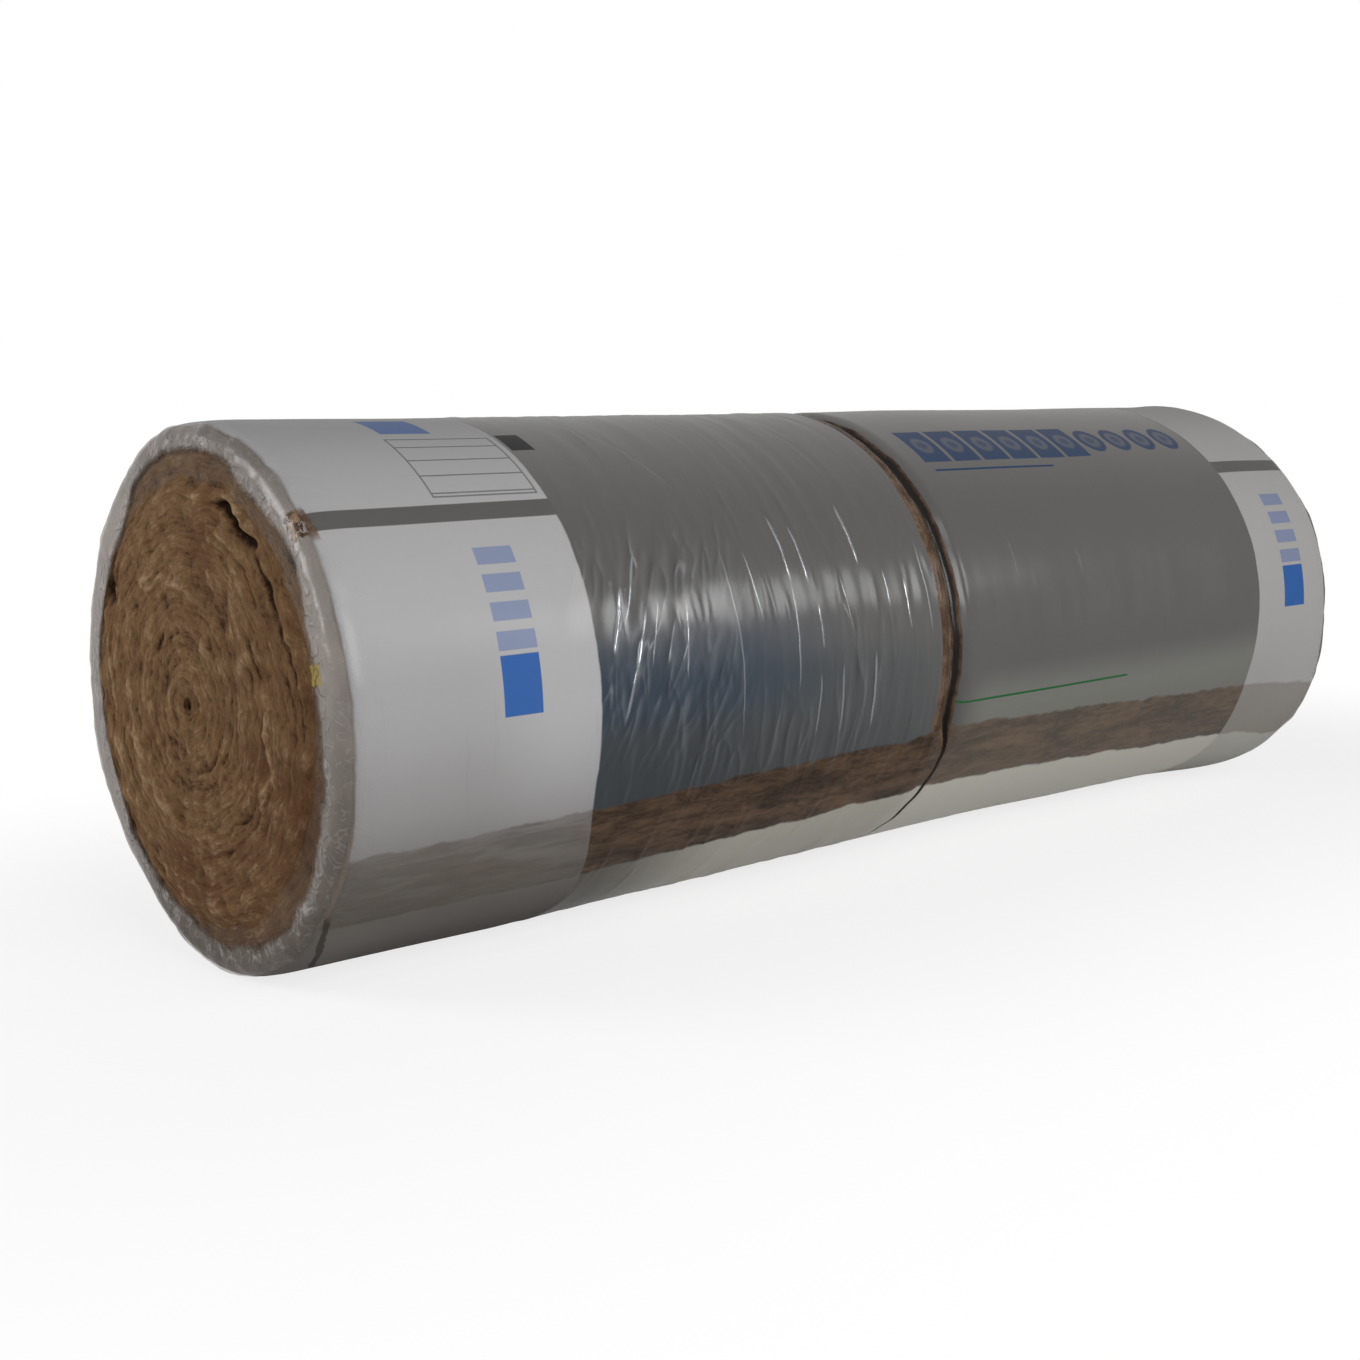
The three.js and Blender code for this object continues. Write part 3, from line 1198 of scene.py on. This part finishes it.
def tile_row(board, at):
    """A row of tiles, square ones and then discs, each with a faint spot in it."""
    place = (at.along - TILE_START) / TILE_PITCH
    share = place.fraction()
    square = share.band(0.05, 0.93, 0.03) * at.around.band(*TILES_AROUND, 0.3)
    off_around = (at.around - TILE_MIDDLE[1]) / TILE_DEGREES
    from_middle = board.math("SQRT", (share - TILE_MIDDLE[0]) ** 2 + off_around ** 2)
    spot = from_middle.fall(0.23, 0.31) * 0.45 * from_middle.ease(0.10, 0.16, 0.3, 1.0)
    is_disc = board.math("GREATER_THAN", place, SQUARE_TILES)
    tiles = board.level(is_disc, square, from_middle.fall(0.40, 0.45)) - spot
    return tiles * place.band(0, TILE_COUNT, 0.02)


def plain_marks(board, prints, at):
    """Generic marks without words: pairs of a mask and its colour."""
    rows = (at.around * TABLE_ROWS).fraction().band(0.0, 0.08, 0.02)
    table = at.in_block(*TABLE_OUTSIDE) - at.in_block(*TABLE_INSIDE) * (1 - rows)
    stripes = ((at.around - BAR_STRIPES[0]) * STRIPE_RATE).fraction().band(0.1, 0.75, 0.04)
    bar = at.around.band(*BAR_STRIPES, SOFT_AROUND) * (stripes * 0.5)
    bar |= at.around.band(*BAR_BLOCK, SOFT_AROUND)
    marks = [(tile_row(board, at) * 0.9, prints.faded), (table * 0.6, prints.ink)]
    for along, around, ink, strength in BLOCKS:
        marks.append((at.in_block(along, around) * strength, getattr(prints, ink)))
    for along, strength in BARS:
        marks.append((bar * at.along.band(*along, SOFT_ALONG) * strength, prints.blue))
    return marks


def white_ends(at, film):
    """1 on both white bands. Their edges drift towards the far end low on the roll."""
    straight = at.along - at.folded.ease(195, 235, 0.0, WHITE_DRIFT) + at.wobble * WHITE_WAVER
    near = straight.fall(film.band_near - EDGE_SOFT, film.band_near + EDGE_SOFT)
    return near | straight.ease(film.band_far - EDGE_SOFT, film.band_far + EDGE_SOFT)


def print_colour(board, prints, at, in_white):
    """Colour of the whole print without its marks."""
    picture_top = at.from_joint * PICTURE_SLOPE + PICTURE_TOP + at.along.fall(-0.01, 0.0) * PICTURE_STEP
    below_top = at.around - picture_top + at.wobble * PICTURE_WAVER
    in_picture = below_top.band(0, PICTURE_HEIGHT, 1.0)
    below = below_top.ease(*PALE_START) * at.around.fall(*PALE_END)
    picture = brown_print(board, prints, at)
    past_print = at.from_joint + at.around.band(*PRINT_END_DIP[0], 22) * PRINT_END_DIP[1]
    tear = at.along + (at.around - TEAR_MIDDLE) * TEAR_LEAN + at.wobble * TEAR_WAVER
    tear = tear.band(*TEAR, 0.0015) * at.around.band(*TEAR_AROUND, 3)
    return board.layers(
        silver_print(board, prints, at),
        (below, pale_print(board, prints, at)),
        (in_picture, picture),
        (in_white, white_print(board, prints, at, picture, in_picture)),
        (past_print.ease(PRINT_END - EDGE_SOFT, PRINT_END + EDGE_SOFT), prints.haze),
        (tear * 0.7, prints.picture_dark),
    )


def sharp_creases(board, at):
    """Height of all the sharp creases together."""
    along = at.along + at.wobble * EDGE_WAVER
    heights = []
    for place, first, last, lean, width, height in SHARP_CREASES:
        crease = board.group(
            sharp_crease(), Along=along, Around=at.around, Place=place,
            Middle=(first + last) / 2, Half=(last - first) / 2, Lean=lean, Width=width,
        )
        heights.append(crease["Height"] * height)
    return sum(heights)


def joint_strip(board, film, at):
    """The clear strip of film in the joint, and the groove in that, which the film paints near-black as
    shade.
    """
    shifted = at.along + at.wobble * EDGE_WAVER
    taut = at.around.ease(*TAUT[0]) * at.around.fall(*TAUT[1])

    def strip(start, end, soft):
        past_start = shifted - board.level(taut, start, GAP[0])
        before_end = board.level(taut, end, GAP[1]) - shifted
        return past_start.ease(-soft, soft) * before_end.ease(-soft, soft)

    return strip(film.clear_start, film.clear_end, 0.0005), strip(*GROOVE, 0.001)


def film_coat(board, at, in_white, inked):
    """Gloss of the printed film, with a patchy sheen along the silver."""
    coat = at.folded.ease(180, 204, 0.42, 0.20)
    coat *= board.level(in_white, 1.0, at.folded.ease(226, 240, 0.55, 0.15))
    coat *= board.level(inked, 1.0, 0.55)
    patches = at.streaks((60, 13, 13), 1.0, 3).ease(0.36, 0.62)
    sheen = at.folded.band(159, 176, 7) * at.along.band(-0.37, 0.40, 0.06)
    sheen = sheen * (1 - in_white) * patches * at.along.ease(-0.31, -0.22, 0.75, 0.2)
    return board.level(sheen, coat, 1.0)


def printed_material(film, prints):
    """Printed film: silver panel, white end bands, fibrous brown band and clear strip."""
    material, board, shader = new_material("printed_film")
    at = FilmPlace(board, PRINT_WOBBLE)
    in_white = white_ends(at, film)
    on_silver = 1 - in_white
    colour = print_colour(board, prints, at, in_white)
    inked = 0.0
    for mask, ink in plain_marks(board, prints, at):
        colour = board.blend(mask, colour, ink)
        inked = mask | inked

    in_folds = at.along.band(*FOLDS_ALONG, 0.05) * at.around.ease(*FOLDS_FROM, 0.3, 1.0)
    in_crumples = at.along.band(*CRUMPLES[0], 0.06) * at.around.band(*CRUMPLES[1], 18)
    low_front = at.folded.ease(*LOW_FROM, 0.15, 1.0) * at.folded.ease(*LOW_TO, 1.0, 0.1)
    low_front *= at.noise(11, 2).ease(0.42, 0.62, 0.15, 1.0)
    # Lit: above 0 where a wrinkle's side gets a painted highlight, below 0 where it gets a painted shade.
    lit = at.wrinkles["Lit Folds"] * in_folds * low_front + at.wrinkles["Lit Crumple"] * in_crumples * 1.2
    lit *= on_silver

    sharp = sharp_creases(board, at)
    # Glints: painted highlights in the crease colour on crumples and sharp creases.
    broken = at.noise(34, 2).ease(0.50, 0.60) * at.around.fall(176, 188) * at.along.fall(-0.30, -0.27)
    glints = at.wrinkles["Crumple"].ease(0.72, 0.98) * in_crumples * broken * 0.6
    glints = (glints | sharp.ease(0.08, 0.6)) * board.level(on_silver, 0.3, 1.0)

    clear, groove_shade = joint_strip(board, film, at)
    cloud = at.noise(60, 4, 0.7)
    under = board.blend(cloud.ease(0.4, 0.6), prints.under_red, prints.under_pale)
    strip_end = (at.along + at.wobble * 0.02).fall(*STRIP_END) * at.around.band(*STRIP_END_AROUND, 2)
    colour = board.layers(
        colour,
        # Painted highlight and painted shade on the two sides of the wrinkles, then painted glints.
        (lit * 0.24, prints.crease),
        (lit * -0.6, prints.groove_shade),
        (glints * 0.42, prints.crease),
        (strip_end * 0.85, under),
        (clear, under),
        # Near-black painted shade in the joint's groove.
        (groove_shade, prints.groove_shade),
    )

    fine = at.wrinkles["Folds"] * board.level(in_folds, 0.12, board.level(low_front, 0.5, 1.6))
    fine += at.wrinkles["Crumple"] * in_crumples * 2.2 + sharp * 1.5
    gathered = at.from_joint.ease(0.540, 0.575)
    crackle = at.wrinkles["Crackle"] * board.level(gathered, 0.05, 0.8)
    board.fill(shader, {
        "Base Color": colour,
        "Alpha": board.level(clear, 1.0, board.level(groove_shade, 0.55, 0.85)),
        "Metallic": glints * 0.7,
        "Roughness": board.level(glints, 0.5, 0.16),
        "Specular IOR Level": 0.0,
        "Coat Weight": film_coat(board, at, in_white, inked),
        "Coat Roughness": 0.2,
        "Normal": board.bump(crackle, 0.0012, Normal=board.bump(fine, 0.0010)),
    })
    return material


def haze_colour(board, prints, soft, gathers, left, low, up):
    """Colour of the gathered film: a painted shade darkens its top, it is browner and darker low
    down with the painted shade of the wool seen through, and it is pale on its folds, partly
    with painted glints; it is paler on the left.
    """
    def darker(share):
        return [share * level for level in prints.haze]

    return board.layers(
        darker(DARK_HAZE),
        (soft.ease(0.35, 0.65), prints.haze),
        # Browner and darker low down: the wool seen through, with painted shade.
        (low * 0.6, prints.brown_haze_and_shade),
        # Painted shade at the top.
        (up.ease(0.325, 0.365, 0.0, 0.75), darker(TOP_HAZE)),
        # Pale folds with painted glints.
        (gathers * 0.45, prints.fold_and_glint),
        (left * 0.4, prints.fold_and_glint),
    )


def clear_film_material(film, prints):
    """Clear film past the print: hazy where it is gathered, and open to the wool at its lip."""
    material, board, shader = new_material("clear_film")
    at = FilmPlace(board, CLEAR_WOBBLE)
    crackle = at.wrinkles["Crackle"]
    _, across, up = board.split(at.position)
    left = across.ease(0.06, 0.15)
    low = up.fall(0.02, 0.14)
    soft = at.noise(42, 2, 0.5, 0.4)
    knots = at.noise(70, 2, 0.6, 0.6).ridged(14)

    haze_edge = at.wobble * HAZE_WAVER + film.haze_radius + left * -0.01
    for first, last, soft_edge, shift in HAZE_WAVES:
        haze_edge += at.around.band(first, last, soft_edge) * shift
    inward = at.radius - haze_edge
    hazy = inward.ease(-0.003, 0.004)
    gathers = knots * inward.band(-0.004, 0.010, 0.004)
    haze = haze_colour(board, prints, soft, gathers, left, low, up)

    on_shoulder = at.from_joint.fall(*SHOULDER)
    # Pale haze with a painted highlight on the shoulder.
    shoulder_haze_and_highlight = at.around.ease(158, 205, 0.28, 0.06) * at.around.ease(108, 142, 0.3, 1.0)
    near_end = at.along.fall(-0.1, 0.1)
    bare = at.around.band(*TORN_SPOT, 4) * at.radius.ease(*TORN_FROM) * near_end
    bare = (bare + at.wobble * 1.3).ease(0.5, 0.7)
    fibres = at.noise(150, 5, 0.75)
    fibre_colour = board.blend(fibres.ease(0.4, 0.62), prints.fibre_dark, prints.fibre_pale)
    scrap = at.around.band(*SCRAP_AROUND, 0.8) * at.radius.band(*SCRAP_RADIUS, 0.002) * near_end
    colour = board.layers(
        # The wool seen through the film, with painted shade.
        prints.brown_haze_and_shade,
        (hazy, haze),
        (on_shoulder * shoulder_haze_and_highlight, prints.fold_and_glint),
        # Painted glints on the shoulder and at the torn spot.
        (knots.ease(0.55, 0.9) * on_shoulder * 0.16, prints.fold_and_glint),
        (bare, fibre_colour),
        (knots.ease(0.5, 0.8) * bare * 0.5, prints.fold_and_glint),
        (scrap, prints.tape),
    )

    full = board.level(left | low, 0.88, 0.7)
    alpha = board.level(hazy, crackle.ease(0.35, 0.7, 0.14, 0.32), full)
    past_print = (at.from_joint + at.wobble * 0.006).ease(0.5815, 0.5850)
    height = crackle * 0.35 + soft + gathers * 0.9
    board.fill(shader, {
        "Base Color": colour,
        "Alpha": (alpha | scrap * 0.85) * past_print,
        "Roughness": board.level(hazy, 0.18, 0.34),
        "Specular IOR Level": 0.1,
        "Coat Weight": board.level(hazy, 0.07, 0.22),
        "Coat Roughness": 0.2,
        "Normal": board.bump(height, 0.0016),
    })
    return material


class ROLL_OT_film(bpy.types.Operator):
    """Build the printed film round both half-rolls, and its clear ends"""
    bl_idname = "insulation_roll.film"
    bl_label = "Film wrap"

    def execute(self, context):
        settings = context.scene.insulation_roll
        film = settings.film
        printed = printed_material(film, settings.prints)
        clear = clear_film_material(film, settings.prints)
        finished(film_skin_mesh(film), "film_skin", printed, "film_wrap")
        for name, side in (("near", NEAR), ("far", FAR)):
            mesh = film_collar_mesh(film, side)
            finished(mesh, f"film_collar_{name}", clear, "film_wrap")
        return {"FINISHED"}


# ---- Stage ----------------------------------------------------------------------------------

WHITE = (1, 1, 1)
DIM_LIGHT = 0.06
FLOOR_SIZE = 12
FLOOR_GREY = (0.8, 0.8, 0.8)
# How far from the roll its shadow on the floor starts and ends to fade, and the white there.
SHADOW_FADE = (0.15, 0.75, 0.78, 1.0)
SENSOR_WIDTH = 36

# Name, place, target, size in metres and power in watts of each lamp.
LAMPS = (
    ("key", (-0.6, -2.7, 1.35), (0, 0, 0.2), (1.8, 1.2), 62),
    ("ceiling", (-0.3, -1.9, 2.1), (0, 0, 0.2), (1.5, 0.3), 9),
    ("window", (2.55, -3.0, 1.7), (-0.2, 0, 0.2), (1.0, 0.9), 24),
    ("left", (-1.9, 0.9, 0.7), (-0.6, 0, 0.2), (0.8, 0.8), 27),
)


def seen(board):
    """1 for the camera, in reflections and through glass, and 0 for light on other things."""
    path = board.values(board.node("ShaderNodeLightPath"))
    return path["Is Camera Ray"] | path["Is Glossy Ray"] | path["Is Transmission Ray"]


def floor_material():
    """White to the eye and in reflections, grey to the light, with the roll's shadow near it."""
    material, board, shader = new_material("studio_floor")
    board.fill(shader, {"Base Color": FLOOR_GREY, "Roughness": 0.9})
    glow = board.value("ShaderNodeEmission", {"Color": WHITE})
    along, across, _ = board.split(board.place())
    past_end = (abs(along) - HALF_LENGTH) | 0.0
    from_roll = board.math("SQRT", past_end ** 2 + across ** 2)
    inputs = {0: seen(board) * from_roll.ease(*SHADOW_FADE), 1: Value(board, shader.outputs[0]), 2: glow}
    surface = board.value("ShaderNodeMixShader", inputs)
    board.fill(board.tree.nodes["Material Output"], {"Surface": surface})
    return material


def studio_world():
    """White to the camera and in reflections, soft grey as a light."""
    world = bpy.data.worlds.new("studio")
    world.use_nodes = True
    board = NodeBoard(world.node_tree)
    strength = board.level(seen(board), DIM_LIGHT, 1.0)
    board.fill(world.node_tree.nodes["Background"], {"Color": WHITE, "Strength": strength})
    bpy.context.scene.world = world


def soft_lamp(name, place, target, size, power):
    light = bpy.data.lights.new(name, "AREA")
    light.shape = "RECTANGLE"
    light.size, light.size_y = size
    light.energy = power
    lamp = linked(name, light)
    lamp.location = place
    lamp.rotation_euler = (Vector(target) - Vector(place)).to_track_quat("-Z", "Y").to_euler()


def studio_camera(stage):
    """The camera, which looks along +Y before its yaw, pitch and roll."""
    data = bpy.data.cameras.new("camera")
    data.lens = stage.focal_length
    data.sensor_width = SENSOR_WIDTH
    camera = linked("camera", data)
    view = Vector((
        math.sin(stage.yaw) * math.cos(stage.pitch),
        math.cos(stage.yaw) * math.cos(stage.pitch),
        math.sin(stage.pitch),
    ))
    turned = view.to_track_quat("-Z", "Y") @ Quaternion((0, 0, 1), stage.roll)
    camera.location = Vector(stage.camera_place) + Vector((0, 0, AXIS_HEIGHT))
    camera.rotation_euler = turned.to_euler()
    bpy.context.scene.camera = camera


class ROLL_OT_stage(bpy.types.Operator):
    """Build the floor, the lights and the camera"""
    bl_idname = "insulation_roll.stage"
    bl_label = "Studio"

    def execute(self, context):
        mesh = bmesh.new()
        bmesh.ops.create_grid(mesh, x_segments=1, y_segments=1, size=FLOOR_SIZE)
        floor = placed(mesh, "floor", floor_material())
        studio_world()
        for lamp in LAMPS:
            soft_lamp(*lamp)
        studio_camera(context.scene.insulation_roll.stage)
        context.scene.view_settings.view_transform = "Standard"
        return {"FINISHED"}


# ---- Panel and registration -----------------------------------------------------------------


class ROLL_PT_panel(bpy.types.Panel):
    """Lists the pieces of the roll"""
    bl_idname = "ROLL_PT_panel"
    bl_label = "Insulation Roll"
    bl_space_type = "VIEW_3D"
    bl_region_type = "UI"
    bl_category = "Insulation Roll"

    def draw(self, context):
        for operator in PIECES:
            self.layout.operator(operator.bl_idname)


PIECES = (ROLL_OT_wool, ROLL_OT_film, ROLL_OT_stage)
SETTINGS = (WoolSettings, FilmSettings, PrintSettings, StageSettings, RollSettings)
CLASSES = SETTINGS + PIECES + (ROLL_PT_panel,)


def register():
    for cls in CLASSES:
        bpy.utils.register_class(cls)
    bpy.types.Scene.insulation_roll = PointerProperty(type=RollSettings)


def unregister():
    del bpy.types.Scene.insulation_roll
    for cls in reversed(CLASSES):
        bpy.utils.unregister_class(cls)


def main():
    register()
    bpy.ops.insulation_roll.stage()
    bpy.ops.insulation_roll.wool()
    bpy.ops.insulation_roll.film()


if __name__ == "__main__":
    main()
